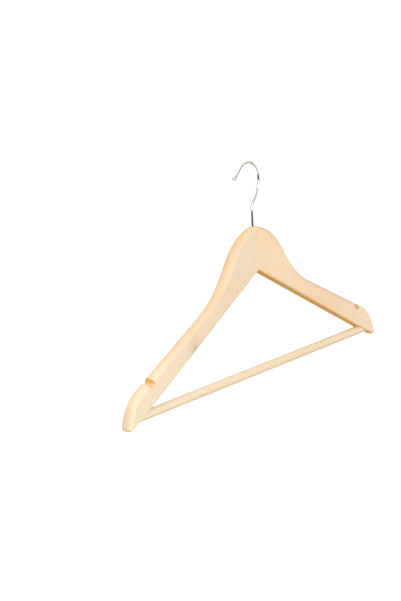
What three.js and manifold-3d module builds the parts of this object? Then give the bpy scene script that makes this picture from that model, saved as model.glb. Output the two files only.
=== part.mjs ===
import * as THREE from 'three';
import { mergeVertices } from 'three/addons/utils/BufferGeometryUtils.js';
import Module from 'manifold-3d';

const wasm = await Module();
wasm.setup();

// All lengths are millimetres and all angles are degrees.

// Wooden body: its outline from the front, its thickness and its rounded edges
const bodyLength = 440;
const bodyThickness = 12;
const topFlat = 0.8;
const undersideRound = 1.8;
const tipRound = 2.9;
const tipFlat = 0.4;
const tipEdgeDepth = 5;
const neckDepth = 43.2;
const apexRound = 4;
const undersideSlope = 26.8;
const crownPull = 8;
const flankReach = 45;
const flankDrop = 26.3;
const flankSlope = 53.5;
const flankPullUp = 25;
const flankPullDown = 20;
const shoulderReach = 96.8;
const shoulderDrop = 71.8;
const shoulderSlope = 24.7;
const shoulderPull = 30.4;
const tipRun = 21.6;
const tipSlope = 72.6;
const tipPull = 14;

// Strap notches across the top edge near each tip
const notchFromTip = 34.4;
const notchWidth = 8.7;
const notchDepth = 6.2;
const notchCorner = 1.8;

// Trouser bar and the brads that lock its ends
const barDiameter = 9;
const barFromTip = 21.2;
const barInset = 12;
const barChamfer = 0.6;
const bradDiameter = 1.2;
const bradHeadDiameter = 2.4;
const bradHeadHeight = 0.7;
const bradLength = 9.5;
const bradPoint = 1.6;
const bradInset = 7.5;

// Dowels across the glued seam in the neck
const dowelDiameter = 6;
const dowelLength = 26;
const dowelChamfer = 0.8;
const upperDowelDrop = 26.5;
const dowelSpacing = 8.6;

// Wire hook, above the wood
const wireDiameter = 2.8;
const loopRadius = 19.4;
const loopOffset = 5.8;
const loopRise = 43.8;
const loopEnd = 138;
const slantLean = 38.6;
const bendRadius = 12.4;
const flareRadius = 12;
const flareTurn = 10.5;
const tailLength = 7.4;
const ballDiameter = 4.4;

// Swivel inside the wood: a sleeve held between the two halves and the headed end of the wire below it
const bushTop = 3.5;
const bushLength = 12;
const bushDiameter = 6.4;
const bushGroove = 0.3;
const headDiameter = 5.2;
const headHeight = 1.6;

// Fits: glued wood, the turning wire and the free room around its head
const glueGap = 0.1;
const runGap = 0.15;
const freeGap = 0.4;

// How far a cutter runs past the surface it cuts
const overcut = 3;

// Facets of the round pieces and of the rounded edges
const roundSides = 24;
const wireSides = 14;
const wireSteps = 72;
const curveSides = 12;
const edgeLayers = 5;

const radians = THREE.MathUtils.degToRad;
const heading = (angle) => new THREE.Vector2(Math.cos(radians(angle)), Math.sin(radians(angle)));
const halfLength = bodyLength / 2;
const topRound = (bodyThickness - topFlat) / 2;
const wireRadius = wireDiameter / 2;
const hangRise = loopRise + Math.sqrt((loopRadius - wireRadius) ** 2 - loopOffset ** 2);

// Height of the arm's top edge in its straight stretch, and of the underside, at a distance from the middle
const topAt = (reach) => -shoulderDrop - (reach - shoulderReach) * Math.tan(radians(shoulderSlope));
const undersideAt = (reach) => -neckDepth - reach * Math.tan(radians(undersideSlope));

// Places shared by several pieces
const barCross = halfLength - barFromTip;
const barHeight = undersideAt(barCross);
const barHalf = barCross + barInset;
const bradReach = barCross + bradInset;
const notchReach = halfLength - notchFromTip;
const bushBottom = -bushTop - bushLength;
const headTop = bushBottom - freeGap;
const shankEnd = headTop - headHeight;

function solid(geometry) {
  const bare = geometry.clone();
  bare.deleteAttribute('normal');
  bare.deleteAttribute('uv');
  const merged = mergeVertices(bare, 1e-4);
  const mesh = new wasm.Mesh({
    numProp: 3,
    vertProperties: new Float32Array(merged.attributes.position.array),
    triVerts: new Uint32Array(merged.index.array),
  });
  return new wasm.Manifold(mesh);
}

// Round solid turned from a profile of (radius, height) corners, standing along +Z
function turned(corners) {
  const profile = corners.map(([radius, height]) => new THREE.Vector2(radius, height));
  return new THREE.LatheGeometry(profile, roundSides).rotateX(Math.PI / 2);
}

function rod(radius, low, high, chamfer = 0) {
  const corners = [
    [0, low],
    [radius - chamfer, low],
    [radius, low + chamfer],
    [radius, high - chamfer],
    [radius - chamfer, high],
    [0, high],
  ];
  const same = (corner, other) => corner[0] === other[0] && corner[1] === other[1];
  return turned(corners.filter((corner, place) => place === 0 || !same(corner, corners[place - 1])));
}

const alongX = (geometry) => geometry.rotateY(Math.PI / 2);
const towardsBack = (geometry) => geometry.rotateX(-Math.PI / 2);

// Right half of the outline, from the crown over the shoulder and round the tip to the inner apex,
// with the rounding of the edge at each point: how far it falls inwards and how deep it reaches
function halfOutline() {
  const crown = new THREE.Vector2(0, 0);
  const flank = new THREE.Vector2(flankReach, -flankDrop);
  const shoulder = new THREE.Vector2(shoulderReach, -shoulderDrop);
  const tipReach = halfLength - tipRun;
  const tipStart = new THREE.Vector2(tipReach, topAt(tipReach));
  const down = (angle) => heading(-angle);
  const outwards = (angle) => heading(90 - angle);

  const tipCentre = new THREE.Vector2(halfLength - tipRound, 0);
  const touchReach = tipCentre.x - tipRound * outwards(undersideSlope).x;
  tipCentre.y = undersideAt(touchReach) + tipRound * outwards(undersideSlope).y;
  const tipEdge = outwards(tipSlope).multiplyScalar(tipRound).add(tipCentre);

  const along = (start, angle, pull) => down(angle).multiplyScalar(pull).add(start);
  const neck = new THREE.CubicBezierCurve(
    crown,
    along(crown, 0, crownPull),
    along(flank, flankSlope, -flankPullUp),
    flank,
  );
  const sweep = new THREE.CubicBezierCurve(
    flank,
    along(flank, flankSlope, flankPullDown),
    along(shoulder, shoulderSlope, -shoulderPull),
    shoulder,
  );
  const droop = new THREE.CubicBezierCurve(
    tipStart,
    along(tipStart, shoulderSlope, tipPull),
    along(tipEdge, tipSlope, -tipPull),
    tipEdge,
  );
  const roundFrom = radians(90 - tipSlope);
  const roundTo = radians(-90 - undersideSlope);
  const tip = new THREE.EllipseCurve(tipCentre.x, tipCentre.y, tipRound, tipRound, roundFrom, roundTo, true);

  const apexReach = apexRound * Math.sin(radians(undersideSlope));
  const apexHeight = undersideAt(apexReach) - apexRound * Math.cos(radians(undersideSlope));
  const apexFrom = radians(90 - undersideSlope);
  const apex = new THREE.EllipseCurve(0, apexHeight, apexRound, apexRound, apexFrom, Math.PI / 2, false);

  const topEdge = new THREE.Vector2(topRound, topRound);
  const rim = new THREE.Vector2(tipRound - tipFlat, tipEdgeDepth);
  const lowEdge = new THREE.Vector2(undersideRound, undersideRound);
  const rounded = (points, from, to) => points.map((point, order) => {
    const share = THREE.MathUtils.smoothstep(order, 0, points.length - 1);
    return { point, round: from.clone().lerp(to, share) };
  });

  return [
    ...rounded(neck.getPoints(curveSides), topEdge, topEdge),
    ...rounded(sweep.getPoints(curveSides).slice(1), topEdge, topEdge),
    ...rounded(droop.getPoints(curveSides), topEdge, rim),
    ...rounded(tip.getPoints(curveSides / 2).slice(1), rim, lowEdge),
    ...rounded(apex.getPoints(curveSides / 4), lowEdge, lowEdge),
  ];
}

function wholeOutline() {
  const right = halfOutline();
  const mirrored = ({ point, round }) => ({ point: new THREE.Vector2(-point.x, point.y), round });
  return [...right, ...right.slice(1, -1).reverse().map(mirrored)];
}

// Direction straight out of the wood at each point of the outline
function outwardNormals(outline) {
  return outline.map(({ point }, order) => {
    const before = outline[(order + outline.length - 1) % outline.length].point;
    const after = outline[(order + 1) % outline.length].point;
    const arriving = point.clone().sub(before).normalize();
    const leaving = after.clone().sub(point).normalize();
    const along = arriving.add(leaving).normalize();
    return new THREE.Vector2(-along.y, along.x);
  });
}

// Turns of the rounded edge in degrees, from the front face over the edge to the back face
function edgeTurns() {
  const quarter = Array.from({ length: edgeLayers + 1 }, (_, layer) => (90 * layer) / edgeLayers);
  const front = quarter.map((turn) => ({ turn, side: -1 })).reverse();
  const back = quarter.map((turn) => ({ turn, side: 1 }));
  return [...front, ...back];
}

// Whole wooden body before it is parted at the seam: the outline in layers from front to back
function bodyBlank() {
  const outline = wholeOutline();
  const normals = outwardNormals(outline);
  const layers = edgeTurns().map(({ turn, side }) => outline.map(({ point, round }, order) => {
    const { x: fallShare, y: depthShare } = heading(turn);
    const depth = bodyThickness / 2 - round.y * (1 - depthShare);
    const place = point.clone().addScaledVector(normals[order], -round.x * (1 - fallShare));
    return new THREE.Vector3(place.x, side * depth, place.y);
  }));

  const count = outline.length;
  const corners = [];
  for (let layer = 1; layer < layers.length; layer += 1) {
    for (let order = 0; order < count; order += 1) {
      const beside = (order + 1) % count;
      const start = (layer - 1) * count;
      const end = layer * count;
      corners.push(start + order, start + beside, end + beside);
      corners.push(start + order, end + beside, end + order);
    }
  }
  const face = layers[0].map((place) => new THREE.Vector2(place.x, place.z));
  const last = (layers.length - 1) * count;
  for (const [first, second, third] of THREE.ShapeUtils.triangulateShape(face, [])) {
    corners.push(first, second, third);
    corners.push(last + third, last + second, last + first);
  }

  const blank = new THREE.BufferGeometry().setFromPoints(layers.flat());
  blank.setIndex(corners);
  return solid(blank);
}

// Slot with rounded inner corners, square to the top edge
function notchCutter(side) {
  const half = notchWidth / 2;
  const inner = half - notchCorner;
  const cornerHeight = notchCorner - notchDepth;
  const slot = new THREE.Shape();
  slot.moveTo(half, overcut);
  slot.lineTo(-half, overcut);
  slot.lineTo(-half, cornerHeight);
  slot.absarc(-inner, cornerHeight, notchCorner, Math.PI, 1.5 * Math.PI, false);
  slot.absarc(inner, cornerHeight, notchCorner, 1.5 * Math.PI, 2 * Math.PI, false);
  const cutter = new THREE.ExtrudeGeometry(slot, {
    depth: 2 * bodyThickness,
    bevelEnabled: false,
    curveSegments: 4,
  });
  cutter.translate(0, 0, -bodyThickness).rotateX(Math.PI / 2);
  cutter.rotateY(side * radians(shoulderSlope));
  return solid(cutter.translate(side * notchReach, 0, topAt(notchReach)));
}

// Room for the wire, the sleeve and the wire's head along the swivel axis
function swivelPocket() {
  const wireRoom = wireRadius + freeGap;
  const bushRoom = bushDiameter / 2 + glueGap;
  const headRoom = headDiameter / 2 + freeGap;
  return solid(turned([
    [0, shankEnd - freeGap],
    [headRoom, shankEnd - freeGap],
    [headRoom, bushBottom - glueGap],
    [bushRoom, bushBottom - glueGap],
    [bushRoom, -bushTop + glueGap],
    [wireRoom, -bushTop + glueGap],
    [wireRoom, overcut],
    [0, overcut],
  ]));
}

function dowelPlace(geometry, order) {
  return alongX(geometry).translate(0, 0, -upperDowelDrop - order * dowelSpacing);
}

function dowelHole(order) {
  const half = dowelLength / 2 + freeGap;
  return solid(dowelPlace(rod(dowelDiameter / 2 + glueGap, -half, half), order));
}

function barSockets() {
  const half = barHalf + glueGap;
  return solid(alongX(rod(barDiameter / 2 + glueGap, -half, half)).translate(0, 0, barHeight));
}

// Brad with a flat head flush with the back face, its shank running towards the front
function bradShape(gap) {
  const shank = bradDiameter / 2 + gap;
  const head = bradHeadDiameter / 2 + gap;
  const top = gap > 0 ? overcut : 0;
  return turned([
    [0, -bradLength - gap],
    [shank, -bradLength + bradPoint - gap],
    [shank, -bradHeadHeight - gap],
    [head, -bradHeadHeight - gap],
    [head, top],
    [0, top],
  ]);
}

function bradPlace(geometry, side) {
  return towardsBack(geometry).translate(side * bradReach, bodyThickness / 2, barHeight);
}

const bradHole = (side) => solid(bradPlace(bradShape(glueGap), side));

function halfSpace(side) {
  const tall = 2 * bodyLength;
  const box = new THREE.BoxGeometry(bodyLength, tall, tall);
  return solid(box.translate(side * (bodyLength / 2 + glueGap / 2), 0, 0));
}

function bothArms() {
  const body = bodyBlank()
    .subtract(notchCutter(-1))
    .subtract(notchCutter(1))
    .subtract(swivelPocket())
    .subtract(dowelHole(0))
    .subtract(dowelHole(1))
    .subtract(barSockets())
    .subtract(bradHole(-1))
    .subtract(bradHole(1));
  return [body.intersect(halfSpace(-1)), body.intersect(halfSpace(1))];
}

function barSolid() {
  const bar = alongX(rod(barDiameter / 2, -barHalf, barHalf, barChamfer));
  return solid(bar.translate(0, 0, barHeight)).subtract(bradHole(-1)).subtract(bradHole(1));
}

function bushShape() {
  const bore = wireRadius + runGap;
  const outer = bushDiameter / 2;
  const rib = bushLength / 6;
  return turned([
    [bore, bushBottom],
    [outer, bushBottom],
    [outer, bushBottom + rib],
    [outer - bushGroove, bushBottom + 2 * rib],
    [outer, bushBottom + 3 * rib],
    [outer - bushGroove, bushBottom + 4 * rib],
    [outer, bushBottom + 5 * rib],
    [outer, -bushTop],
    [bore, -bushTop],
    [bore, bushBottom],
  ]);
}

// Circular arc in the upright plane of the hook
class UprightArc extends THREE.Curve {
  constructor(centre, radius, from, to) {
    super();
    this.centre = centre;
    this.radius = radius;
    this.from = from;
    this.to = to;
  }

  getPoint(share, target = new THREE.Vector3()) {
    const spoke = heading(THREE.MathUtils.lerp(this.from, this.to, share)).multiplyScalar(this.radius);
    return target.set(this.centre.x + spoke.x, 0, this.centre.y + spoke.y);
  }
}

// Middle line of the wire: shank, bend, slant, loop, flare and tail
function wirePath() {
  const upright = (point) => new THREE.Vector3(point.x, 0, point.y);
  const step = (start, angle, distance) => heading(angle).multiplyScalar(distance).add(start);
  const loopCentre = new THREE.Vector2(-loopOffset, loopRise);
  const loopStart = step(loopCentre, -slantLean, loopRadius);
  const slantAngle = 90 - slantLean;
  const meetHeight = loopStart.y - loopStart.x / Math.tan(radians(slantLean));
  const bendReach = bendRadius * Math.tan(radians(slantLean / 2));
  const shankBase = new THREE.Vector2(0, shankEnd);
  const bendStart = new THREE.Vector2(0, meetHeight - bendReach);
  const bendFinish = step(new THREE.Vector2(0, meetHeight), slantAngle, bendReach);
  const bendCentre = new THREE.Vector2(bendRadius, bendStart.y);
  const loopFinish = step(loopCentre, loopEnd, loopRadius);
  const flareCentre = step(loopFinish, loopEnd, flareRadius);
  const flareFrom = loopEnd + 180;
  const flareFinish = step(flareCentre, flareFrom - flareTurn, flareRadius);
  const tailEnd = step(flareFinish, loopEnd + 90 - flareTurn, tailLength);

  const path = new THREE.CurvePath();
  path.add(new THREE.LineCurve3(upright(shankBase), upright(bendStart)));
  path.add(new UprightArc(bendCentre, bendRadius, 180, 180 - slantLean));
  path.add(new THREE.LineCurve3(upright(bendFinish), upright(loopStart)));
  path.add(new UprightArc(loopCentre, loopRadius, -slantLean, loopEnd));
  path.add(new UprightArc(flareCentre, flareRadius, flareFrom, flareFrom - flareTurn));
  path.add(new THREE.LineCurve3(upright(flareFinish), upright(tailEnd)));
  return path;
}

function hookSolid() {
  const path = wirePath();
  const section = new THREE.Shape();
  for (let side = 0; side < wireSides; side += 1) {
    const corner = heading((360 * side) / wireSides).multiplyScalar(wireRadius);
    if (side === 0) section.moveTo(corner.x, corner.y);
    else section.lineTo(corner.x, corner.y);
  }
  const wire = solid(new THREE.ExtrudeGeometry(section, { steps: wireSteps, extrudePath: path }));
  const end = path.getPoint(1);
  const ball = new THREE.SphereGeometry(ballDiameter / 2, 20, 14).translate(end.x, end.y, end.z);
  const head = rod(headDiameter / 2, shankEnd, headTop, headHeight / 4);
  return wire.add(solid(ball)).add(solid(head));
}

const beech = { color: 0xefcfa2, roughness: 0.42, metalness: 0 };
const finishes = {
  left_arm: { ...beech, color: 0xf0d2a8 },
  right_arm: { ...beech, color: 0xebc898 },
  trouser_bar: { ...beech, color: 0xf0cf9f, roughness: 0.5 },
  joint_dowel: { color: 0xd9b27c, roughness: 0.7, metalness: 0 },
  hook: { color: 0xd6d6d8, roughness: 0.12, metalness: 1 },
  hook_bush: { color: 0xb99a56, roughness: 0.35, metalness: 1 },
  brad: { color: 0x9a9a9c, roughness: 0.4, metalness: 1 },
};

function piece(name, shape, finish) {
  const { vertProperties, triVerts } = shape.getMesh();
  const geometry = new THREE.BufferGeometry();
  geometry.setAttribute('position', new THREE.BufferAttribute(new Float32Array(vertProperties), 3));
  geometry.setIndex(new THREE.BufferAttribute(new Uint32Array(triVerts), 1));
  geometry.computeVertexNormals();
  const mesh = new THREE.Mesh(geometry, new THREE.MeshStandardMaterial(finishes[finish]));
  mesh.name = name;
  return mesh;
}

function dowel(order) {
  const peg = rod(dowelDiameter / 2, -dowelLength / 2, dowelLength / 2, dowelChamfer);
  return solid(dowelPlace(peg, order));
}

const brad = (side) => solid(bradPlace(bradShape(0), side));
const [leftArm, rightArm] = bothArms();

// The wood and everything fixed in it
const woodenBody = new THREE.Group();
woodenBody.name = 'wooden_body';
woodenBody.add(
  piece('left_arm', leftArm, 'left_arm'),
  piece('right_arm', rightArm, 'right_arm'),
  piece('joint_dowel_upper', dowel(0), 'joint_dowel'),
  piece('joint_dowel_lower', dowel(1), 'joint_dowel'),
  piece('trouser_bar', barSolid(), 'trouser_bar'),
  piece('bar_brad_left', brad(-1), 'brad'),
  piece('bar_brad_right', brad(1), 'brad'),
  piece('hook_bush', solid(bushShape()), 'hook_bush'),
);

// The wire hook that the body turns under
const swivelHook = new THREE.Group();
swivelHook.name = 'swivel_hook';
swivelHook.add(piece('hook', hookSolid(), 'hook'));

// The origin is where the swivel axis meets the rail under the hook's loop
const hanger = new THREE.Group();
hanger.name = 'clothes_hanger';
woodenBody.position.z = -hangRise;
swivelHook.position.z = -hangRise;
hanger.add(woodenBody, swivelHook);

export default hanger;
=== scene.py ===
"""Wooden clothes hanger: two lacquered arms glued at the neck, a trouser bar and a plated swivel hook."""

import math

import bmesh
import bpy
from mathutils import Matrix, Vector
from mathutils.geometry import interpolate_bezier


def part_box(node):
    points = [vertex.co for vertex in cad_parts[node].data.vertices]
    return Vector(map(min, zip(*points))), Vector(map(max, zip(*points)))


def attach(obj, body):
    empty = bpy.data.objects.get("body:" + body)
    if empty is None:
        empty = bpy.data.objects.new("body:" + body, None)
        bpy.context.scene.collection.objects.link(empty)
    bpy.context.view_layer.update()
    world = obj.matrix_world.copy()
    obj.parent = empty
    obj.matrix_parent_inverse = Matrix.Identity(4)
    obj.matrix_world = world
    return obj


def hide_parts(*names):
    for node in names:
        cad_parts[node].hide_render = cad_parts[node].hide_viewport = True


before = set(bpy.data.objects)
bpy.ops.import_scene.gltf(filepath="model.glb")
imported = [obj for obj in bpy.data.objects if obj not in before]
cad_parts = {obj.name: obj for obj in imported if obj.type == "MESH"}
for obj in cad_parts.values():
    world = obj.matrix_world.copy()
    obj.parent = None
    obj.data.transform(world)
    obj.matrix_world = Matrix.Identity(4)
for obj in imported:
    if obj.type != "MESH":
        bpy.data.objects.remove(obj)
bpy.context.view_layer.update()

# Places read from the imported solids, in metres
arm_low, arm_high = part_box("left_arm")
bar_low, bar_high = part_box("trouser_bar")
half_length = -arm_low.x
half_thickness = arm_high.y
seam_half_gap = -arm_high.x
bar_radius = (bar_high.y - bar_low.y) / 2
bar_height = (bar_high.z + bar_low.z) / 2
bar_half = bar_high.x

# Outline of the wood seen from the front, from the crown down, in metres and degrees
neck_depth = 0.0432
apex_round = 0.004
underside_slope = 26.8
crown_pull = 0.008
flank_reach = 0.045
flank_drop = 0.0263
flank_slope = 53.5
flank_pull_up = 0.025
flank_pull_down = 0.020
shoulder_reach = 0.0968
shoulder_drop = 0.0718
shoulder_slope = 24.7
shoulder_pull = 0.0304
tip_run = 0.0216
tip_slope = 72.6
tip_pull = 0.014
tip_round = 0.0029
tip_return = 0.012

# Steps along the curves of the outline
flank_steps = 40
droop_steps = 28
tip_steps = 20
return_steps = 8
apex_steps = 8

# Rounding of the edges, as the fall of the edge and its reach over the face: nearly a full round
# on top, an oval at the tips and little underneath
top_round = Vector((0.0056, 0.0056))
tip_edge_round = Vector((0.0025, 0.0050))
underside_round = Vector((0.0018, 0.0018))
edge_steps = 12
face_border = 0.0003
seam_easing = 0.0002
easing_segments = 3

# Small knot at the lower edge of the left arm's front face, from the crown
knot_reach = 0.1145
knot_drop = 0.097

# Strap notches
notch_from_tip = 0.0344
notch_width = 0.0087
notch_depth = 0.0062
notch_corner = 0.0018
notch_corner_steps = 8
notch_easing = 0.0004
notch_tolerance = 0.00002

# Trouser bar: its eased ends, and the waver that sanding left, in metres and radians a metre
bar_inset = 0.012
bar_end_easing = 0.0006
bar_waver = 0.00006
bar_waver_pace = 61.0
bar_swell_pace = 23.0
bar_swell_start = 1.3
bar_spans = 84
bar_sides = 40

# Brads, dowels and the swivel in the wood
brad_radius = 0.0006
brad_head_radius = 0.0012
brad_head_height = 0.0007
brad_length = 0.0095
brad_inset_from_bar_end = 0.0045
brad_sides = 24
dowel_radius = 0.003
dowel_half = 0.013
dowel_drops = (0.0265, 0.0351)
bush_top = 0.0035
bush_length = 0.012
bush_radius = 0.0032
head_radius = 0.0026
head_height = 0.0016
glue_gap = 0.0001
free_gap = 0.0004
tool_overshoot = 0.002
turned_sides = 48

# Wire of the hook, above the crown
wire_radius = 0.0014
loop_radius = 0.0194
loop_offset = 0.0058
loop_rise = 0.0438
loop_end = 138.0
slant_lean = 38.6
bend_radius = 0.0124
flare_radius = 0.012
flare_turn = 10.5
tail_length = 0.0074
ball_radius = 0.0022

# Steps along the wire and round it, and the small fillets at its head and its ball
bend_steps = 14
loop_steps = 72
flare_steps = 10
ball_steps = 20
wire_sides = 28
wire_step = 0.0006
wire_margin = 0.001
tangent_reach = 0.0002
head_step = 0.0001
head_fillet = 0.0003
ball_fillet = 0.00006
ball_fillet_length = 0.0003

# Angles in degrees over which an edge shows as a crease
wood_crease = 32
wire_crease = 40
small_piece_crease = 30

# Camera and stage
camera_aim = Vector((-0.09357, 0.0, -0.11633))
camera_azimuth = -54.827
camera_elevation = 11.701
camera_roll = -2.633
camera_distance = 1.9366
camera_focal_pixels = 2055.8
camera_sensor = 36.0
camera_far = 200.0
image_long_side = 601
floor_height = -0.62
floor_half = 40.0
floor_squares = 8
floor_glow = 0.78
room_light = 0.72
card_distance = 1.2
card_columns = 24

# Grain, smears and tool rings are drawn at a scale of millimetres
millimetres = 1000.0


class Flow:
    """A shader value that Python arithmetic can use: each operation adds its Math node."""

    def __init__(self, finish, socket):
        self.finish = finish
        self.socket = socket

    def maths(self, operation, *terms, clamp=False):
        settings = {"operation": operation, "use_clamp": clamp}
        return self.finish.node("ShaderNodeMath", settings, dict(enumerate(terms)))

    def __add__(self, other):
        return self.maths("ADD", self, other)

    def __radd__(self, other):
        return self.maths("ADD", other, self)

    def __sub__(self, other):
        return self.maths("SUBTRACT", self, other)

    def __rsub__(self, other):
        return self.maths("SUBTRACT", other, self)

    def __mul__(self, other):
        return self.maths("MULTIPLY", self, other)

    def __rmul__(self, other):
        return self.maths("MULTIPLY", other, self)

    def __pow__(self, other):
        return self.maths("POWER", self, other)

    def __neg__(self):
        return self.maths("MULTIPLY", self, -1.0)

    def __abs__(self):
        return self.maths("ABSOLUTE", self)

    def wave(self):
        """A sine wave of the value, from 0 to 1."""
        return 0.5 + 0.5 * self.maths("SINE", self)

    def turn_from(self, other):
        """The angle of the direction that this value and the other give."""
        return self.maths("ARCTAN2", self, other)

    def most(self, other):
        """The greater of this value and the other."""
        return self.maths("MAXIMUM", self, other)

    def clipped(self):
        """The value held between 0 and 1."""
        return self.maths("ADD", self, 0.0, clamp=True)

    def spread(self, low, high):
        """The share of the way from low to high, held between 0 and 1."""
        return ((self - low) * (1.0 / (high - low))).clipped()


class Finish:
    """A node tree that is filled with nodes by type, settings and sockets."""

    def __init__(self, tree):
        self.tree = tree
        self.tree.nodes.clear()

    def node(self, kind, settings=None, sockets=None, output=0):
        """Adds a node, with its settings first, and gives one of its outputs."""
        made = self.tree.nodes.new(kind)
        for key, value in (settings or {}).items():
            setattr(made, key, value)
        for key, value in (sockets or {}).items():
            if isinstance(value, Flow):
                self.tree.links.new(value.socket, made.inputs[key])
            else:
                made.inputs[key].default_value = value
        return Flow(self, made.outputs[output]) if made.outputs else None

    def vector(self, operation, first, second):
        """Vector Math of two vectors, or of a vector and a scale."""
        second_socket = "Scale" if operation == "SCALE" else 1
        sockets = {0: first, second_socket: second}
        output = "Value" if operation == "DISTANCE" else "Vector"
        return self.node("ShaderNodeVectorMath", {"operation": operation}, sockets, output)

    def axis(self, vector, name):
        """One part of a vector: X, Y or Z."""
        return self.node("ShaderNodeSeparateXYZ", None, {0: vector}, name)

    def blend(self, share, first, second, how="MIX"):
        """Colour mix: share 0 gives the first colour."""
        settings = {"data_type": "RGBA", "blend_type": how, "clamp_factor": True}
        return self.node("ShaderNodeMix", settings, {0: share, 6: first, 7: second}, 2)

    def noise(self, place, scale, detail=2.0, roughness=0.5):
        """Noise from 0 to 1 at a place that a scale for each axis stretches."""
        stretched = self.vector("MULTIPLY", place, scale)
        sockets = {"Vector": stretched, "Scale": 1.0, "Detail": detail, "Roughness": roughness}
        return self.node("ShaderNodeTexNoise", {"noise_dimensions": "3D"}, sockets, "Fac")

    def place(self):
        """Place on the piece, in metres."""
        return self.node("ShaderNodeTexCoord", output="Object")

    def fine_place(self):
        """Place on the piece, in millimetres."""
        return self.vector("SCALE", self.place(), millimetres)

    def facing(self):
        """Direction that the surface faces."""
        return self.node("ShaderNodeTexCoord", output="Normal")

    def along_grain(self, vector, lean):
        """A place or direction turned about Y so that X runs along the grain."""
        sockets = {"Vector": vector, "Angle": math.radians(lean)}
        return self.node("ShaderNodeVectorRotate", {"rotation_type": "Y_AXIS"}, sockets)

    def bump(self, strength, distance, height):
        """A surface normal that a height roughens, over a distance in metres."""
        sockets = {"Strength": strength, "Distance": distance, "Height": height}
        return self.node("ShaderNodeBump", None, sockets)

    def surface(self, sockets):
        """A Principled surface shader."""
        return self.node("ShaderNodeBsdfPrincipled", None, sockets)

    def matt(self, tint):
        """A surface shader without any gloss."""
        return self.surface({"Base Color": tint, "Roughness": 1.0, "Specular IOR Level": 0.0})

    def mix(self, share, first, second):
        """Mix of two shaders: share 0 gives the first."""
        return self.node("ShaderNodeMixShader", None, {0: share, 1: first, 2: second})

    def show(self, shader):
        """Makes a shader the surface of the material."""
        self.node("ShaderNodeOutputMaterial", None, {"Surface": shader})


def colour(red, green, blue):
    """A solid tint."""
    return (red, green, blue, 1.0)


# Tints of the wood and its lacquer, and of the shade and light painted on it
pore_brown = colour(0.58, 0.37, 0.18)
knot_stain = colour(0.70, 0.49, 0.28)
knot_heart = colour(0.50, 0.30, 0.14)
# Painted light at the tips, painted shade on the neck's flanks, a painted highlight on upward-facing
# edges, and edge and underside ambers that are painted shade, the edge one partly lacquer tint
tip_painted_light = colour(0.91, 0.79, 0.59)
flank_shade = colour(0.94, 0.95, 0.97)
sheen_cream = colour(0.93, 0.80, 0.62)
edge_amber_and_shade = colour(1.0, 0.845, 0.66)
underside_shade_amber = colour(1.0, 0.84, 0.54)
notch_floor_pale = colour(0.90, 0.70, 0.46)
notch_floor_deep = colour(0.86, 0.64, 0.39)
vessel_brown = colour(0.55, 0.29, 0.10)
birch_pale = colour(0.72, 0.50, 0.27)
birch_deep = colour(0.55, 0.35, 0.17)
flute_brown = colour(0.42, 0.26, 0.12)

# Tints of the metals
plating_bright = colour(0.86, 0.85, 0.84)
plating_smeared = colour(0.76, 0.75, 0.73)
# Darker tint of the ball: painted shade
plating_ball_shade = colour(0.66, 0.62, 0.58)
speck_grey = colour(0.50, 0.47, 0.44)
steel_bright = colour(0.62, 0.62, 0.63)
steel_dull = colour(0.40, 0.39, 0.38)
brass_bright = colour(0.72, 0.52, 0.20)
brass_dull = colour(0.50, 0.35, 0.13)

# Tints of the stage: white, two tones of the floor's paper, and the pale and deep tones of the felts
white = colour(1.0, 1.0, 1.0)
paper_shown = (colour(0.42, 0.42, 0.42), colour(0.45, 0.45, 0.45))
paper_bounce = (colour(0.50, 0.49, 0.47), colour(0.54, 0.53, 0.51))
charcoal_felt = (colour(0.13, 0.105, 0.10), colour(0.09, 0.07, 0.065))
brown_felt = (colour(0.20, 0.16, 0.13), colour(0.15, 0.12, 0.09))
dove_felt = (colour(0.55, 0.48, 0.44), colour(0.48, 0.42, 0.38))
taupe_felt = (colour(0.45, 0.39, 0.35), colour(0.39, 0.33, 0.29))
grey_felt = (colour(0.46, 0.45, 0.44), colour(0.40, 0.39, 0.38))
sand_felt = (colour(0.60, 0.51, 0.44), colour(0.53, 0.44, 0.37))


def new_material(name):
    """An empty material and the tree that its nodes go in."""
    material = bpy.data.materials.new(name)
    material.use_nodes = True
    return material, Finish(material.node_tree)


def grain_place(finish, lean, shift):
    """Place in millimetres with X along the grain, shifted so that no two pieces share their figure."""
    grain = finish.vector("SCALE", finish.along_grain(finish.place(), lean), millimetres)
    return finish.vector("ADD", grain, shift)


def end_facing(finish, lean):
    """How squarely the surface cuts the grain: 0 on long grain and 1 on end grain."""
    return abs(finish.axis(finish.along_grain(finish.facing(), lean), "X"))


def slow_drift(finish, grain):
    """Slow change of tone along a board."""
    return finish.noise(grain, (0.009, 0.07, 0.07), 3.0, 0.55).spread(0.3, 0.7)


def growth_bands(finish, grain):
    """Wavering bands where a board cuts the growth rings."""
    warp = finish.noise(grain, (0.006, 0.05, 0.05), 2.0)
    height = finish.axis(grain, "Z")
    depth = finish.axis(grain, "Y")
    phase = (height + 0.55 * depth) * 1.05 + warp * 26.0
    return phase.wave()


def fine_fibres(finish, grain):
    """Fine streaks of the fibres."""
    return finish.noise(grain, (0.035, 1.1, 1.1), 4.0, 0.62).spread(0.3, 0.7)


def short_pores(finish, grain):
    """Short dark flecks where pores are cut open."""
    return finish.noise(grain, (0.16, 2.6, 2.6), 2.0, 0.5).spread(0.64, 0.76)


def knot_marks(finish, knot):
    """The stain round a knot and its dark heart, each from 0 to 1."""
    from_knot = finish.vector("DISTANCE", finish.fine_place(), knot * millimetres)
    stain = 1.0 - from_knot.spread(1.5, 14.0)
    heart = 1.0 - from_knot.spread(0.6, 4.2)
    return stain, heart


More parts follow.
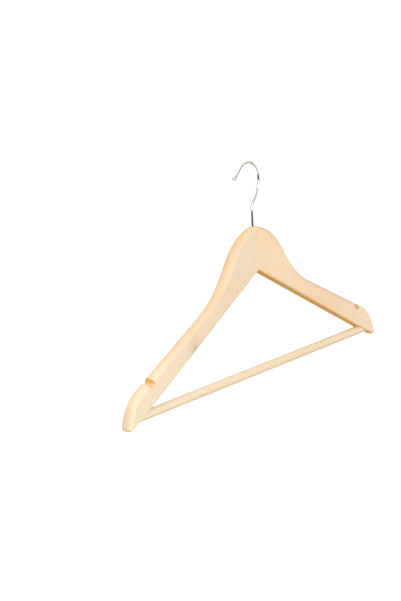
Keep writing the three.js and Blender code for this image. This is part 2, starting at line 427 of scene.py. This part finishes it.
def lacquered_wood(name, lean, shift, pale, deep, edge_tint_and_shade, underside_shade_tint, knot=None):
    """Pale hardwood under a satin lacquer, amber on rounded edges partly as lacquer tint and partly as
    painted shade, with painted shade underneath and painted light at the tips and on upward-facing edges.
    """
    material, finish = new_material(name)
    grain = grain_place(finish, lean, shift)
    if knot:
        stain, heart = knot_marks(finish, knot)
        grain = finish.vector("ADD", grain, finish.vector("SCALE", (0.0, 0.0, 5.0), stain))
    bands = growth_bands(finish, grain)
    fibres = fine_fibres(finish, grain)
    pores = short_pores(finish, grain)

    tone = 0.05 + 0.48 * slow_drift(finish, grain) + 0.12 * bands + 0.30 * fibres
    wood = finish.blend(tone, pale, deep)
    wood = finish.blend(0.35 * pores, wood, pore_brown)
    if knot:
        wood = finish.blend(0.60 * stain, wood, knot_stain)
        wood = finish.blend(0.30 * heart, wood, knot_heart)

    from_seam = abs(finish.axis(finish.place(), "X"))
    neck = 1.0 - from_seam.spread(0.03, 0.09)
    tips = from_seam.spread(0.11, 0.20)
    facing = finish.facing()
    upward = finish.axis(facing, "Z")
    sideways = abs(finish.axis(facing, "X"))
    edge = (1.0 - abs(finish.axis(facing, "Y"))).clipped()
    lower = (-upward).spread(0.2, 0.8)
    end_grain = end_facing(finish, lean) ** 3.0

    # Edge amber, partly lacquer tint and partly painted shade: strongest on the neck, where the flanks
    # take extra painted shade, and weaker towards the tips, but for their outer ends
    lacquer_and_shade_share = 0.82 + 0.18 * neck - tips * (0.40 - 0.32 * sideways ** 2.0)
    flank = neck * sideways.spread(0.1, 0.5)
    amber = edge + flank * (edge.spread(0.0, 0.4) - edge)
    # Paler cream towards the tips: painted light
    wood = finish.blend(0.5 * tips, wood, tip_painted_light)
    # Edge amber, partly lacquer tint and partly painted shade, then painted shade on the neck's flanks
    wood = finish.blend(amber * lacquer_and_shade_share, wood, edge_tint_and_shade, "MULTIPLY")
    wood = finish.blend(amber * flank, wood, flank_shade, "MULTIPLY")
    # Darker amber on all that faces down: painted shade
    wood = finish.blend(lower, wood, underside_shade_tint, "MULTIPLY")

    smears = finish.noise(grain, (0.03, 0.09, 0.09), 3.0, 0.6)
    # Paler cream in patches on upward-facing edges: painted highlight
    top_edge_sheen = (edge * upward * smears).spread(0.42, 0.62)
    wood = finish.blend(0.25 * top_edge_sheen, wood, sheen_cream)
    rough = 0.34 + 0.10 * fibres + 0.08 * smears + 0.12 * top_edge_sheen + 0.10 * end_grain + 0.25 * tips
    coat = (0.32 - 0.14 * smears - 0.12 * end_grain) * (1.0 - 0.9 * tips)
    relief = finish.bump(0.14, 0.00012, 0.6 * fibres - 0.8 * pores + 0.25 * bands)
    satin = finish.surface({
        "Base Color": wood,
        "Roughness": rough,
        "Coat Weight": coat,
        "Coat Roughness": 0.22,
        "IOR": 1.48,
        "Normal": relief,
    })
    dull = finish.surface({
        "Base Color": wood,
        "Roughness": rough + 0.3,
        "Specular IOR Level": 0.1,
        "Normal": relief,
    })
    finish.show(finish.mix(lower, satin, dull))
    return material


def sawn_notch_wood(name, lean, shift, pale, deep):
    """Strap notch: end grain on its walls, amber partly from the lacquer soaked in and partly as painted
    shade, paler long grain on its floor.
    """
    material, finish = new_material(name)
    grain = grain_place(finish, lean, shift)
    fibres = fine_fibres(finish, grain)
    vessels = finish.noise(grain, (0.9, 3.2, 3.2), 2.0, 0.5).spread(0.56, 0.72)
    tone = 0.5 * growth_bands(finish, grain) + 0.5 * slow_drift(finish, grain)
    long_wood = finish.blend(tone, notch_floor_pale, notch_floor_deep)
    end_wood = finish.blend(tone, pale, deep)
    end_wood = finish.blend(0.4 * vessels, end_wood, vessel_brown)
    finish.show(finish.surface({
        "Base Color": finish.blend(end_facing(finish, lean).spread(0.25, 0.85), long_wood, end_wood),
        "Roughness": 0.48 + 0.16 * fibres + 0.10 * vessels,
        "Coat Weight": 0.16 - 0.10 * vessels,
        "Coat Roughness": 0.3,
        "Normal": finish.bump(0.3, 0.0002, 0.5 * fibres - 0.8 * vessels),
    }))
    return material


def bare_dowel_wood():
    """Unlacquered birch of the dowels hidden in the neck, with pressed flutes."""
    material, finish = new_material("dowel_birch")
    grain = grain_place(finish, 0.0, (300.0, 40.0, 90.0))
    fibres = fine_fibres(finish, grain)
    facing = finish.facing()
    around = finish.axis(facing, "Y").turn_from(finish.axis(facing, "Z"))
    flutes = (around * 16.0).wave()
    wood = finish.blend(0.5 * slow_drift(finish, grain) + 0.5 * fibres, birch_pale, birch_deep)
    finish.show(finish.surface({
        "Base Color": finish.blend(0.25 * flutes, wood, flute_brown),
        "Roughness": 0.68 + 0.16 * fibres,
        "Normal": finish.bump(0.5, 0.0002, 0.7 * flutes + 0.3 * fibres),
    }))
    return material


def plated_steel(ball):
    """Bright plated wire with finger smears, fine specks and slight ripples, duller on the ball, where a
    darker tint is painted shade.
    """
    material, finish = new_material("hook_plating")
    place = finish.fine_place()
    smears = finish.noise(place, (0.22, 0.3, 0.22), 4.0, 0.6).spread(0.35, 0.75)
    specks = finish.noise(place, (2.4, 2.4, 2.4), 3.0, 0.6).spread(0.62, 0.8)
    ripple = finish.noise(place, (0.25, 0.5, 0.25), 2.0)
    from_ball = finish.vector("DISTANCE", place, ball * millimetres)
    ball_edge = ball_radius * millimetres
    # Darker, rougher ball: its darker tint is painted shade
    ball_shade_and_dullness = 1.0 - from_ball.spread(1.05 * ball_edge, 1.7 * ball_edge)
    tint = finish.blend(smears, plating_bright, plating_smeared)
    tint = finish.blend(0.35 * specks, tint, speck_grey)
    finish.show(finish.surface({
        "Base Color": finish.blend(ball_shade_and_dullness, tint, plating_ball_shade),
        "Metallic": 1.0,
        "Roughness": 0.05 + 0.07 * smears + 0.15 * specks + 0.25 * ball_shade_and_dullness,
        "Normal": finish.bump(0.02, 0.0002, ripple),
    }))
    return material


def turned_metal(name, bright, dull, roughness, ring_pitch, ring_axis):
    """Small turned or drawn metal with tool rings along one axis and a dull bloom."""
    material, finish = new_material(name)
    place = finish.fine_place()
    rings = (finish.axis(place, ring_axis) * (2 * math.pi / ring_pitch)).wave()
    bloom = finish.noise(place, (0.8, 0.8, 0.8), 4.0, 0.6).spread(0.35, 0.7)
    finish.show(finish.surface({
        "Base Color": finish.blend(0.7 * bloom + 0.2 * rings, bright, dull),
        "Metallic": 1.0,
        "Roughness": roughness + 0.2 * bloom,
        "Normal": finish.bump(0.25, 0.00005, rings),
    }))
    return material


def heading(angle):
    """Unit vector at an angle from +X, in degrees."""
    return Vector((math.cos(math.radians(angle)), math.sin(math.radians(angle))))


def top_at(reach):
    """Height of the straight top edge at a distance from the middle, from the crown."""
    return -shoulder_drop - (reach - shoulder_reach) * math.tan(math.radians(shoulder_slope))


def underside_at(reach):
    """Height of the underside at a distance from the middle, from the crown."""
    return -neck_depth - reach * math.tan(math.radians(underside_slope))


# The bar's sockets fix the height of the crown
crown_height = bar_height - underside_at(bar_half - bar_inset)


def arc(centre, radius, start, end, count):
    """Points along an arc between two angles, in degrees."""
    turns = [start + (end - start) * step / count for step in range(count + 1)]
    return [centre + heading(turn) * radius for turn in turns]


def rounded(points, start, end):
    """The points, each with the rounding of the edge there, which eases from start to end."""
    pairs = []
    for order, point in enumerate(points):
        share = order / (len(points) - 1)
        pairs.append((point, start + (end - start) * share ** 2 * (3 - 2 * share)))
    return pairs


def arm_outline():
    """Right half of the outline, from the crown over the shoulder, round the tip and back to the apex."""
    crown = Vector((0.0, 0.0))
    flank = Vector((flank_reach, -flank_drop))
    shoulder = Vector((shoulder_reach, -shoulder_drop))
    tip_start = Vector((half_length - tip_run, top_at(half_length - tip_run)))

    underside_out = heading(90 - underside_slope)
    touch_reach = half_length - tip_round - tip_round * underside_out.x
    tip_centre_height = underside_at(touch_reach) + tip_round * underside_out.y
    tip_centre = Vector((half_length - tip_round, tip_centre_height))
    tip_edge = tip_centre + heading(90 - tip_slope) * tip_round

    neck = interpolate_bezier(
        crown,
        crown + Vector((crown_pull, 0.0)),
        flank - heading(-flank_slope) * flank_pull_up,
        flank,
        flank_steps,
    )
    sweep = interpolate_bezier(
        flank,
        flank + heading(-flank_slope) * flank_pull_down,
        shoulder - heading(-shoulder_slope) * shoulder_pull,
        shoulder,
        flank_steps,
    )
    droop = interpolate_bezier(
        tip_start,
        tip_start + heading(-shoulder_slope) * tip_pull,
        tip_edge - heading(-tip_slope) * tip_pull,
        tip_edge,
        droop_steps,
    )
    tip = arc(tip_centre, tip_round, 90 - tip_slope, -90 - underside_slope, tip_steps)
    inward = heading(180 - underside_slope) * tip_return
    below = [tip[-1] + inward * step / return_steps for step in range(1, return_steps + 1)]

    apex_reach = apex_round * math.sin(math.radians(underside_slope))
    apex_drop = apex_round * math.cos(math.radians(underside_slope))
    apex_centre = Vector((0.0, underside_at(apex_reach) - apex_drop))
    apex = arc(apex_centre, apex_round, 90 - underside_slope, 90, apex_steps)
    return [
        *rounded(neck, top_round, top_round),
        *rounded(sweep[1:], top_round, top_round),
        *rounded(droop, top_round, tip_edge_round),
        *rounded(tip[1:], tip_edge_round, tip_edge_round),
        *rounded(below, tip_edge_round, underside_round),
        *rounded(apex, underside_round, underside_round),
    ]


def whole_outline():
    """Outline all round, with the left half as the mirror of the right."""
    right = arm_outline()
    left = [(Vector((-point.x, point.y)), rounding) for point, rounding in reversed(right[1:-1])]
    return right + left


def edge_layers(rounding):
    """Depth through the thickness and fall of a rounded edge, from the front face to the back."""
    quarter = [math.pi / 2 * step / edge_steps for step in range(edge_steps + 1)]
    fall, reach = rounding
    flat = half_thickness - reach
    back = [(flat + reach * math.sin(turn), fall * (1 - math.cos(turn))) for turn in quarter]
    back.append((half_thickness, fall + face_border))
    front = [(-depth, layer_fall) for depth, layer_fall in reversed(back)]
    return front + back


def outward_normals(points):
    """Direction out of the wood at each point of the outline."""
    normals = []
    for place, point in enumerate(points):
        before = (point - points[place - 1]).normalized()
        after = (points[(place + 1) % len(points)] - point).normalized()
        along = (before + after).normalized()
        normals.append(Vector((-along.y, along.x)))
    return normals


def body_blank():
    """Both arms in one, rounded all round, before notches and holes are cut."""
    outline = whole_outline()
    normals = outward_normals([point for point, rounding in outline])
    count = len(outline)
    mesh = bmesh.new()
    columns = []
    for (point, rounding), normal in zip(outline, normals):
        column = []
        for depth, fall in edge_layers(rounding):
            place = point - normal * fall
            column.append(mesh.verts.new((place.x, depth, crown_height + place.y)))
        columns.append(column)
    rings = list(zip(*columns))
    for front, back in zip(rings, rings[1:]):
        for place in range(count):
            beside = (place + 1) % count
            mesh.faces.new((front[place], front[beside], back[beside], back[place]))
    mesh.faces.new(rings[0])
    mesh.faces.new(rings[-1])
    bmesh.ops.recalc_face_normals(mesh, faces=mesh.faces)
    return mesh


def ease_rims(mesh, rims, easing):
    """Rounds sharp rims a little, as sanding does."""
    bmesh.ops.bevel(
        mesh,
        geom=rims,
        offset=easing,
        offset_type="OFFSET",
        segments=easing_segments,
        profile=0.5,
        affect="EDGES",
        clamp_overlap=True,
    )


def part_at_seam(mesh, side):
    """Keeps one side of the glued seam and closes its face."""
    everything = mesh.verts[:] + mesh.edges[:] + mesh.faces[:]
    bmesh.ops.bisect_plane(
        mesh,
        geom=everything,
        plane_co=(side * seam_half_gap, 0.0, 0.0),
        plane_no=(-side, 0.0, 0.0),
        clear_outer=True,
    )
    open_edges = [edge for edge in mesh.edges if edge.is_boundary]
    bmesh.ops.edgeloop_fill(mesh, edges=open_edges)
    bmesh.ops.recalc_face_normals(mesh, faces=mesh.faces)
    ease_rims(mesh, open_edges, seam_easing)


def turned_form(profile, sides=turned_sides):
    """Closed round form from (radius, height) corners that start and end on the Z axis."""
    mesh = bmesh.new()
    low = mesh.verts.new((0.0, 0.0, profile[0][1]))
    high = mesh.verts.new((0.0, 0.0, profile[-1][1]))
    turns = [2 * math.pi * side / sides for side in range(sides)]
    rings = []
    for radius, height in profile[1:-1]:
        ring = []
        for turn in turns:
            ring.append(mesh.verts.new((radius * math.cos(turn), radius * math.sin(turn), height)))
        rings.append(ring)
    for side in range(sides):
        beside = (side + 1) % sides
        mesh.faces.new((low, rings[0][beside], rings[0][side]))
        mesh.faces.new((high, rings[-1][side], rings[-1][beside]))
        for below, above in zip(rings, rings[1:]):
            mesh.faces.new((below[side], below[beside], above[beside], above[side]))
    bmesh.ops.recalc_face_normals(mesh, faces=mesh.faces)
    return mesh


def notch_place(side):
    """Middle of a notch's mouth, on the top edge."""
    reach = half_length - notch_from_tip
    return Vector((side * reach, 0.0, crown_height + top_at(reach)))


def notch_tool(side):
    """Slot with rounded inner corners, square to the top edge."""
    half = notch_width / 2
    inner = half - notch_corner
    floor = -notch_depth
    corner_height = floor + notch_corner
    section = [Vector((half, -floor))]
    section += arc(Vector((inner, corner_height)), notch_corner, 0, -90, notch_corner_steps)
    section += arc(Vector((-inner, corner_height)), notch_corner, -90, -180, notch_corner_steps)
    section.append(Vector((-half, -floor)))
    mesh = bmesh.new()
    ends = []
    for depth in (-2 * half_thickness, 2 * half_thickness):
        ends.append([mesh.verts.new((point.x, depth, point.y)) for point in section])
        mesh.faces.new(ends[-1])
    for place in range(len(section)):
        beside = (place + 1) % len(section)
        mesh.faces.new((ends[0][place], ends[0][beside], ends[1][beside], ends[1][place]))
    bmesh.ops.recalc_face_normals(mesh, faces=mesh.faces)
    lean = Matrix.Rotation(side * math.radians(shoulder_slope), 4, "Y")
    bmesh.ops.transform(mesh, matrix=Matrix.Translation(notch_place(side)) @ lean, verts=mesh.verts)
    return mesh


def swivel_tool():
    """Room for the wire, the bush and the wire's head below the crown."""
    bush_bottom = -bush_top - bush_length
    shank_end = bush_bottom - free_gap - head_height
    wire_room = wire_radius + free_gap
    bush_room = bush_radius + glue_gap
    head_room = head_radius + free_gap
    mesh = turned_form([
        (0.0, shank_end - free_gap),
        (head_room, shank_end - free_gap),
        (head_room, bush_bottom - glue_gap),
        (bush_room, bush_bottom - glue_gap),
        (bush_room, glue_gap - bush_top),
        (wire_room, glue_gap - bush_top),
        (wire_room, tool_overshoot),
        (0.0, tool_overshoot),
    ])
    bmesh.ops.translate(mesh, vec=(0.0, 0.0, crown_height), verts=mesh.verts)
    return mesh


def rod_tool(radius, half, height):
    """Hole for a rod that lies along the hanger, across its middle."""
    mesh = turned_form([(0.0, -half), (radius, -half), (radius, half), (0.0, half)])
    lay = Matrix.Translation((0.0, 0.0, height)) @ Matrix.Rotation(math.pi / 2, 4, "Y")
    bmesh.ops.transform(mesh, matrix=lay, verts=mesh.verts)
    return mesh


def brad_tool(side):
    """Hole for a brad and its head, in the back face."""
    shank_room = brad_radius + glue_gap
    head_room = brad_head_radius + glue_gap
    mesh = turned_form([
        (0.0, -brad_length - glue_gap),
        (shank_room, -brad_length - glue_gap),
        (shank_room, -brad_head_height - glue_gap),
        (head_room, -brad_head_height - glue_gap),
        (head_room, tool_overshoot),
        (0.0, tool_overshoot),
    ], brad_sides)
    reach = side * (bar_half - brad_inset_from_bar_end)
    lay = Matrix.Translation((reach, half_thickness, bar_height)) @ Matrix.Rotation(-math.pi / 2, 4, "X")
    bmesh.ops.transform(mesh, matrix=lay, verts=mesh.verts)
    return mesh


def new_piece(name, mesh, material=None):
    """A linked object from a bmesh, which is freed."""
    data = bpy.data.meshes.new(name)
    mesh.to_mesh(data)
    mesh.free()
    if material:
        data.materials.append(material)
    piece = bpy.data.objects.new(name, data)
    bpy.context.scene.collection.objects.link(piece)
    return piece


def carve(piece, tools):
    """Cuts each tool's form out of the piece."""
    cutters = [new_piece(f"{piece.name}_tool_{order}", tool) for order, tool in enumerate(tools)]
    for cutter in cutters:
        cut = piece.modifiers.new(cutter.name, "BOOLEAN")
        cut.operation = "DIFFERENCE"
        cut.solver = "EXACT"
        cut.object = cutter
    carved = piece.evaluated_get(bpy.context.evaluated_depsgraph_get())
    uncut = piece.data
    piece.data = bpy.data.meshes.new_from_object(carved)
    piece.modifiers.clear()
    bpy.data.meshes.remove(uncut)
    for cutter in cutters:
        bpy.data.meshes.remove(cutter.data)


def finish_notch(piece, side, material):
    """Gives the notch its own wood and rounds its sharp rims."""
    piece.data.materials.append(material)
    mesh = bmesh.new()
    mesh.from_mesh(piece.data)
    middle = notch_place(side)
    upright = Matrix.Rotation(-side * math.radians(shoulder_slope), 3, "Y")
    half_mouth = notch_width / 2 + notch_tolerance
    lowest = -notch_depth - notch_tolerance
    for face in mesh.faces:
        offset = upright @ (face.calc_center_median() - middle)
        inside = abs(offset.x) < half_mouth and offset.z > lowest
        face.material_index = 1 if inside else 0
    rims = []
    for edge in mesh.edges:
        woods = {face.material_index for face in edge.link_faces}
        if len(woods) == 2:
            rims.append(edge)
    ease_rims(mesh, rims, notch_easing)
    mesh.to_mesh(piece.data)
    mesh.free()


def smooth(piece, crease):
    """Smooth shading, but for creases."""
    for polygon in piece.data.polygons:
        polygon.use_smooth = True
    piece.data.set_sharp_from_angle(angle=math.radians(crease))


def make_arm(name, node, side, material, notch_material):
    """One half of the wood, with its notch and the holes for all that is set in it."""
    mesh = body_blank()
    part_at_seam(mesh, side)
    arm = new_piece(name, mesh, material)
    tools = [notch_tool(side), swivel_tool()]
    for drop in dowel_drops:
        tools.append(rod_tool(dowel_radius + glue_gap, dowel_half + free_gap, crown_height - drop))
    tools.append(rod_tool(bar_radius + glue_gap, bar_half + glue_gap, bar_height))
    tools.append(brad_tool(side))
    carve(arm, tools)
    finish_notch(arm, side, notch_material)
    smooth(arm, wood_crease)
    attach(arm, "wooden_body")
    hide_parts(node)


def make_trouser_bar(material):
    """Turned rod, sanded very slightly uneven along its length, with rounded ends."""
    length = 2 * bar_half
    end = [
        (bar_radius - bar_end_easing, 0.0),
        (bar_radius - 0.3 * bar_end_easing, 0.3 * bar_end_easing),
        (bar_radius, bar_end_easing),
    ]
    stations = list(end)
    for step in range(1, bar_spans):
        along = bar_end_easing + (length - 2 * bar_end_easing) * step / bar_spans
        swell = math.sin(along * bar_swell_pace + bar_swell_start)
        waver = 0.5 + 0.5 * math.sin(along * bar_waver_pace) * swell
        stations.append((bar_radius - bar_waver * waver, along))
    stations += [(radius, length - along) for radius, along in reversed(end)]
    mesh = turned_form([(0.0, 0.0), *stations, (0.0, length)], bar_sides)
    lay = Matrix.Translation((-bar_half, 0.0, bar_height)) @ Matrix.Rotation(math.pi / 2, 4, "Y")
    bmesh.ops.transform(mesh, matrix=lay, verts=mesh.verts)
    bar = new_piece("trouser_bar_rod", mesh, material)
    smooth(bar, wood_crease)
    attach(bar, "wooden_body")
    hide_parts("trouser_bar")


def hook_path():
    """Middle line of the wire from the crown: shank, bend, slant, loop, flare and tail."""
    shank_end = -bush_top - bush_length - free_gap - head_height
    loop_centre = Vector((-loop_offset, loop_rise))
    loop_start = loop_centre + heading(-slant_lean) * loop_radius
    meet_height = loop_start.y - loop_start.x / math.tan(math.radians(slant_lean))
    bend_reach = bend_radius * math.tan(math.radians(slant_lean / 2))
    bend_centre = Vector((bend_radius, meet_height - bend_reach))
    bend = arc(bend_centre, bend_radius, 180, 180 - slant_lean, bend_steps)
    loop = arc(loop_centre, loop_radius, -slant_lean, loop_end, loop_steps)
    flare_centre = loop[-1] + heading(loop_end) * flare_radius
    flare = arc(flare_centre, flare_radius, loop_end + 180, loop_end + 180 - flare_turn, flare_steps)
    tail_end = flare[-1] + heading(loop_end + 90 - flare_turn) * tail_length
    return [Vector((0.0, shank_end)), *bend, *loop, *flare[1:], tail_end]


def ball_middle():
    """Middle of the ball at the free end of the wire."""
    end = hook_path()[-1]
    return Vector((end.x, 0.0, crown_height + end.y))


def along_path(corners):
    """A way to find the point at a distance along the line through the corners, and its whole length."""
    lengths = [0.0]
    for start, end in zip(corners, corners[1:]):
        lengths.append(lengths[-1] + (end - start).length)
    total = lengths[-1]

    def point_at(distance):
        if distance >= total:
            return corners[-1] + (corners[-1] - corners[-2]).normalized() * (distance - total)
        place = next(order for order, length in enumerate(lengths) if length > distance) - 1
        share = (distance - lengths[place]) / (lengths[place + 1] - lengths[place])
        return corners[place].lerp(corners[place + 1], share)

    return point_at, total


def wire_stations(total):
    """Distances along the wire and its radius there: the head, the plain wire and the ball."""
    bevel = head_height / 4
    shank_start = head_height + head_step
    stations = [
        (0.0, head_radius - bevel),
        (bevel, head_radius),
        (head_height - bevel, head_radius),
        (head_height, head_radius - bevel),
        (shank_start, wire_radius + head_fillet),
        (shank_start + head_fillet, wire_radius),
    ]
    neck_turn = math.asin(wire_radius / ball_radius)
    ball_start = total - ball_radius * math.cos(neck_turn)
    plain_start = head_height + wire_margin
    plain_length = ball_start - wire_margin - plain_start
    plain_count = round(plain_length / wire_step)
    for step in range(plain_count + 1):
        stations.append((plain_start + plain_length * step / plain_count, wire_radius))
    stations.append((ball_start - ball_fillet_length, wire_radius + ball_fillet))
    for step in range(1, ball_steps):
        turn = neck_turn + (math.pi - neck_turn) * step / ball_steps
        stations.append((total - ball_radius * math.cos(turn), ball_radius * math.sin(turn)))
    return stations


def make_hook(material):
    """Wire swept along its line, with a ball at the free end and an upset head in the wood."""
    point_at, total = along_path(hook_path())
    across = Vector((0.0, 1.0, 0.0))
    mesh = bmesh.new()
    rings = []
    for distance, radius in wire_stations(total):
        place = point_at(distance)
        behind = point_at(max(distance - tangent_reach, 0.0))
        tangent = (point_at(distance + tangent_reach) - behind).normalized()
        inward = Vector((-tangent.y, 0.0, tangent.x))
        middle = Vector((place.x, 0.0, crown_height + place.y))
        ring = []
        for side in range(wire_sides):
            turn = 2 * math.pi * side / wire_sides
            spoke = inward * math.cos(turn) + across * math.sin(turn)
            ring.append(mesh.verts.new(middle + spoke * radius))
        rings.append(ring)
    for below, above in zip(rings, rings[1:]):
        for side in range(wire_sides):
            beside = (side + 1) % wire_sides
            mesh.faces.new((below[side], below[beside], above[beside], above[side]))
    mesh.faces.new(rings[0])
    mesh.faces.new(rings[-1])
    bmesh.ops.recalc_face_normals(mesh, faces=mesh.faces)
    hook = new_piece("hook_wire", mesh, material)
    smooth(hook, wire_crease)
    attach(hook, "hook")
    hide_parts("hook")


def finish_node(name, material):
    """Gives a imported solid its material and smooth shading."""
    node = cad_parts[name]
    node.data.materials.clear()
    node.data.materials.append(material)
    smooth(node, small_piece_crease)


def seen_by(finish):
    """1 for rays that show a background: straight from the camera or by way of metal or clear pieces."""
    paths = ["Is Camera Ray", "Is Glossy Ray", "Is Transmission Ray"]
    rays = [finish.node("ShaderNodeLightPath", output=path) for path in paths]
    return rays[0].most(rays[1]).most(rays[2])


def make_floor():
    """Pale matt floor that reads as white paper and still takes a shadow."""
    material, finish = new_material("floor_paper")
    tooth = finish.noise(finish.place(), (40.0, 40.0, 40.0), 3.0)
    lit = finish.matt(finish.blend(tooth, *paper_shown))
    glow = finish.node("ShaderNodeEmission", None, {"Color": white, "Strength": floor_glow})
    shown = finish.node("ShaderNodeAddShader", None, {0: lit, 1: glow})
    bounce = finish.matt(finish.blend(tooth, *paper_bounce))
    finish.show(finish.mix(seen_by(finish), bounce, shown))

    mesh = bmesh.new()
    bmesh.ops.create_grid(mesh, x_segments=floor_squares, y_segments=floor_squares, size=floor_half)
    bmesh.ops.translate(mesh, vec=(0.0, 0.0, floor_height), verts=mesh.verts)
    new_piece("floor", mesh, material)


def hang_card(name, turns, heights, felt, foot=card_distance):
    """Curved card round the hanger that only shows in its gloss; its lower edge stands at foot."""
    material, finish = new_material(name + "_felt")
    nap = finish.noise(finish.place(), (60.0, 60.0, 60.0), 3.0)
    finish.show(finish.matt(finish.blend(nap, *felt)))

    start, end = turns
    low, high = heights
    mesh = bmesh.new()
    columns = []
    for column in range(card_columns + 1):
        spoke = heading(start + (end - start) * column / card_columns)
        bottom = mesh.verts.new((spoke.x * foot, spoke.y * foot, low))
        top = mesh.verts.new((spoke.x * card_distance, spoke.y * card_distance, high))
        columns.append((bottom, top))
    for left, right in zip(columns, columns[1:]):
        mesh.faces.new((left[0], right[0], right[1], left[1]))
    card = new_piece(name, mesh, material)
    card.visible_camera = False
    card.visible_diffuse = False
    card.visible_shadow = False


def light_room():
    """Even white surroundings: white where they are seen, softer where they only light the wood."""
    world = bpy.data.worlds.new("studio")
    world.use_nodes = True
    bpy.context.scene.world = world
    finish = Finish(world.node_tree)
    shown = finish.node("ShaderNodeBackground", None, {"Color": white, "Strength": 1.0})
    light = finish.node("ShaderNodeBackground", None, {"Color": white, "Strength": room_light})
    room = finish.mix(seen_by(finish), light, shown)
    finish.node("ShaderNodeOutputWorld", None, {"Surface": room})


def soft_lamp(name, place, aim, size, power):
    """Square lamp that faces its aim; its size is in metres and its power in watts."""
    lamp = bpy.data.lights.new(name, "AREA")
    lamp.shape = "SQUARE"
    lamp.size = size
    lamp.energy = power
    holder = bpy.data.objects.new(name, lamp)
    holder.location = place
    holder.rotation_euler = (Vector(aim) - Vector(place)).to_track_quat("-Z", "Y").to_euler()
    bpy.context.scene.collection.objects.link(holder)


def place_camera():
    """Camera at the photograph's angle, with its slight tilt."""
    azimuth = math.radians(camera_azimuth)
    elevation = math.radians(camera_elevation)
    back = Vector((
        math.sin(azimuth) * math.cos(elevation),
        -math.cos(azimuth) * math.cos(elevation),
        math.sin(elevation),
    ))
    level_right = (-back).cross(Vector((0.0, 0.0, 1.0))).normalized()
    level_up = level_right.cross(-back)
    roll = math.radians(camera_roll)
    right = level_right * math.cos(roll) + level_up * math.sin(roll)
    up = level_up * math.cos(roll) - level_right * math.sin(roll)
    stance = Matrix((right, up, back)).transposed().to_4x4()
    stance.translation = camera_aim + back * camera_distance

    lens = bpy.data.cameras.new("camera")
    lens.sensor_width = camera_sensor
    lens.lens = camera_focal_pixels / image_long_side * lens.sensor_width
    lens.clip_end = camera_far
    camera = bpy.data.objects.new("camera", lens)
    camera.matrix_world = stance
    bpy.context.scene.collection.objects.link(camera)
    bpy.context.scene.camera = camera


# Lamps, each with its place, aim, size and power
lamps = [
    ("key_softbox", (-2.65, -3.52, 1.0), (-0.05, 0.0, -0.12), 2.4, 111.0),
    ("top_softbox", (-0.3, 0.2, 2.0), (-0.05, 0.0, -0.12), 1.6, 5.0),
    ("back_softbox", (1.4, 3.6, 0.9), (0.0, 0.0, -0.12), 2.4, 32.0),
    ("left_softbox", (-3.6, 0.6, 0.0), (-0.05, 0.0, -0.12), 2.0, 8.0),
]

# Cards that the hook mirrors, each with its turns from +X in degrees, heights, felt and, where it
# leans, the distance of its lower edge
cards = [
    ("front_card", (134, 294), (-0.60, -0.222), charcoal_felt, 0.75),
    ("fore_card", (244, 292), (-0.222, -0.10), charcoal_felt),
    ("right_card", (-10, 20), (-0.22, 0.40), brown_felt),
    ("side_card", (-75, -10), (-0.12, 0.60), dove_felt),
    ("high_card", (256, 305), (0.60, 1.60), taupe_felt),
    ("upper_card", (212, 252), (1.24, 1.90), grey_felt),
    ("low_card", (-110, -5), (-0.60, -0.40), sand_felt, 0.35),
    ("back_card", (20, 128), (-0.22, 0.40), brown_felt),
]

place_camera()
light_room()
make_floor()
for lamp in lamps:
    soft_lamp(*lamp)
for card in cards:
    hang_card(*card)

left_wood = lacquered_wood(
    "left_arm_lacquered_wood",
    lean=underside_slope,
    shift=(0.0, 0.0, 0.0),
    pale=colour(0.915, 0.755, 0.565),
    deep=colour(0.81, 0.605, 0.385),
    edge_tint_and_shade=edge_amber_and_shade,
    underside_shade_tint=underside_shade_amber,
    knot=Vector((-knot_reach, -half_thickness, crown_height - knot_drop)),
)
right_wood = lacquered_wood(
    "right_arm_lacquered_wood",
    lean=-underside_slope,
    shift=(410.0, 37.0, 125.0),
    pale=colour(0.965, 0.755, 0.52),
    deep=colour(0.875, 0.605, 0.34),
    edge_tint_and_shade=edge_amber_and_shade,
    underside_shade_tint=underside_shade_amber,
)
bar_wood = lacquered_wood(
    "bar_lacquered_wood",
    lean=0.0,
    shift=(95.0, 210.0, 61.0),
    pale=colour(0.945, 0.785, 0.58),
    deep=colour(0.855, 0.66, 0.425),
    edge_tint_and_shade=colour(1.0, 0.98, 0.93),
    underside_shade_tint=colour(0.97, 0.86, 0.66),
)
left_notch = sawn_notch_wood(
    "left_notch_wood",
    lean=underside_slope,
    shift=(20.0, 60.0, 15.0),
    pale=colour(0.87, 0.575, 0.225),
    deep=colour(0.81, 0.485, 0.165),
)
# The right notch's darker, greyer tones: painted shade
right_notch = sawn_notch_wood(
    "right_notch_wood",
    lean=-underside_slope,
    shift=(70.0, 12.0, 48.0),
    pale=colour(0.66, 0.49, 0.30),
    deep=colour(0.56, 0.41, 0.24),
)
make_arm("left_arm_wood", "left_arm", -1, left_wood, left_notch)
make_arm("right_arm_wood", "right_arm", 1, right_wood, right_notch)
make_trouser_bar(bar_wood)
make_hook(plated_steel(ball_middle()))

dowel_wood = bare_dowel_wood()
brad_steel = turned_metal(
    "brad_steel",
    bright=steel_bright,
    dull=steel_dull,
    roughness=0.3,
    ring_pitch=0.25,
    ring_axis="Y",
)
bush_brass = turned_metal(
    "bush_brass",
    bright=brass_bright,
    dull=brass_dull,
    roughness=0.25,
    ring_pitch=0.4,
    ring_axis="Z",
)
finish_node("joint_dowel_upper", dowel_wood)
finish_node("joint_dowel_lower", dowel_wood)
finish_node("bar_brad_left", brad_steel)
finish_node("bar_brad_right", brad_steel)
finish_node("hook_bush", bush_brass)

bpy.context.scene.view_settings.view_transform = "Standard"
